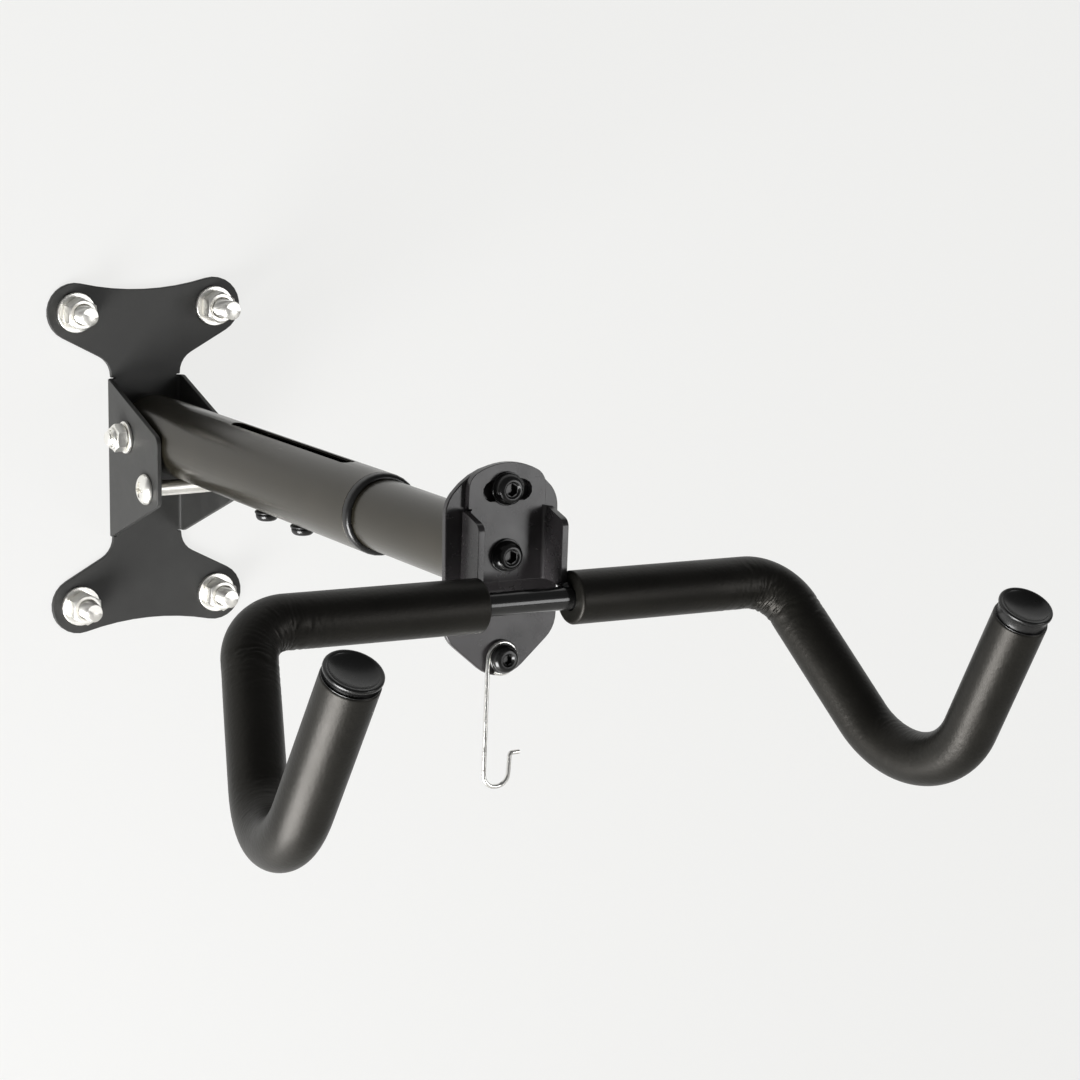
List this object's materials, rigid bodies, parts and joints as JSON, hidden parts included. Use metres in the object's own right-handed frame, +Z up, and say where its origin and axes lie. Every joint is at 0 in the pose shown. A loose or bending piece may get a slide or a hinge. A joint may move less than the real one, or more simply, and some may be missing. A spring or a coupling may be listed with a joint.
{
  "type": "bicycle wall rack",
  "caption": "Wall-mounted bicycle rack: fold-up telescopic arm with a tilting pair of foam-covered cradle arms and a wire hook.",
  "frame": {"origin": "middle of the wall plate's back face, on the wall", "axes": "+Z up, +Y into the wall, the arm stands out along -Y, +X to the right as seen from in front"},
  "size_m": [0.3272, 0.5536, 0.1864],
  "materials": {
    "powder_coat": "satin charcoal powder coat",
    "tube_coat": "satin graphite coat",
    "zinc": "bright zinc plating",
    "black_oxide": "glossy black oxide",
    "black_plastic": "moulded black plastic",
    "foam": "matte closed-cell foam skin",
    "spring_steel": "bright drawn wire"
  },
  "bodies": {
    "wall": {"wall_plate": "powder_coat", "anchor_stud_top_left": "zinc", "anchor_stud_top_right": "zinc", "anchor_stud_bottom_left": "zinc", "anchor_stud_bottom_right": "zinc", "anchor_washer_top_left": "zinc", "anchor_washer_top_right": "zinc", "anchor_washer_bottom_left": "zinc", "anchor_washer_bottom_right": "zinc", "anchor_nut_top_left": "zinc", "anchor_nut_top_right": "zinc", "anchor_nut_bottom_left": "zinc", "anchor_nut_bottom_right": "zinc", "pivot_bolt": "zinc", "pivot_washer_left": "zinc", "pivot_washer_right": "zinc", "pivot_nut": "zinc", "stop_bolt": "zinc", "stop_nut": "zinc"},
    "arm": {"outer_tube": "tube_coat", "pivot_sleeve": "zinc", "guide_bush": "black_plastic"},
    "extension": {"inner_tube": "tube_coat", "clamp_screw_rear": "black_oxide", "clamp_screw_front": "black_oxide", "clamp_washer_rear": "black_oxide", "clamp_washer_front": "black_oxide", "nut_plate": "zinc", "face_plate": "powder_coat", "tilt_bolt": "black_oxide", "tilt_nut": "black_oxide", "lock_bolt": "black_oxide", "lock_nut": "black_oxide", "hook_bolt": "black_oxide", "hook_nut": "black_oxide", "hook_bush": "zinc"},
    "cradle": {"tilt_bracket": "powder_coat", "cradle_rod": "powder_coat", "foam_left": "foam", "foam_right": "foam", "cap_left": "black_plastic", "cap_right": "black_plastic"},
    "hook": {"wire_hook": "spring_steel"}
  },
  "joints": [
    {"name": "fold", "type": "hinge", "parent": "wall", "child": "arm", "pos_m": [0, -0.0285, 0.015], "axis": [-1, 0, 0], "range_deg": [0, 85]},
    {"name": "extend", "type": "slide", "parent": "arm", "child": "extension", "axis": [0, -1, 0], "range_m": [-0.032, 0.046]},
    {"name": "tilt", "type": "hinge", "parent": "extension", "child": "cradle", "pos_m": [0, -0.384, 0.017], "axis": [0, 1, 0], "range_deg": [-16, 13.4]},
    {"name": "hook_swing", "type": "hinge", "parent": "extension", "child": "hook", "pos_m": [0, -0.3853, -0.0275], "axis": [0, 1, 0], "range_deg": [-75, 75]}
  ]
}
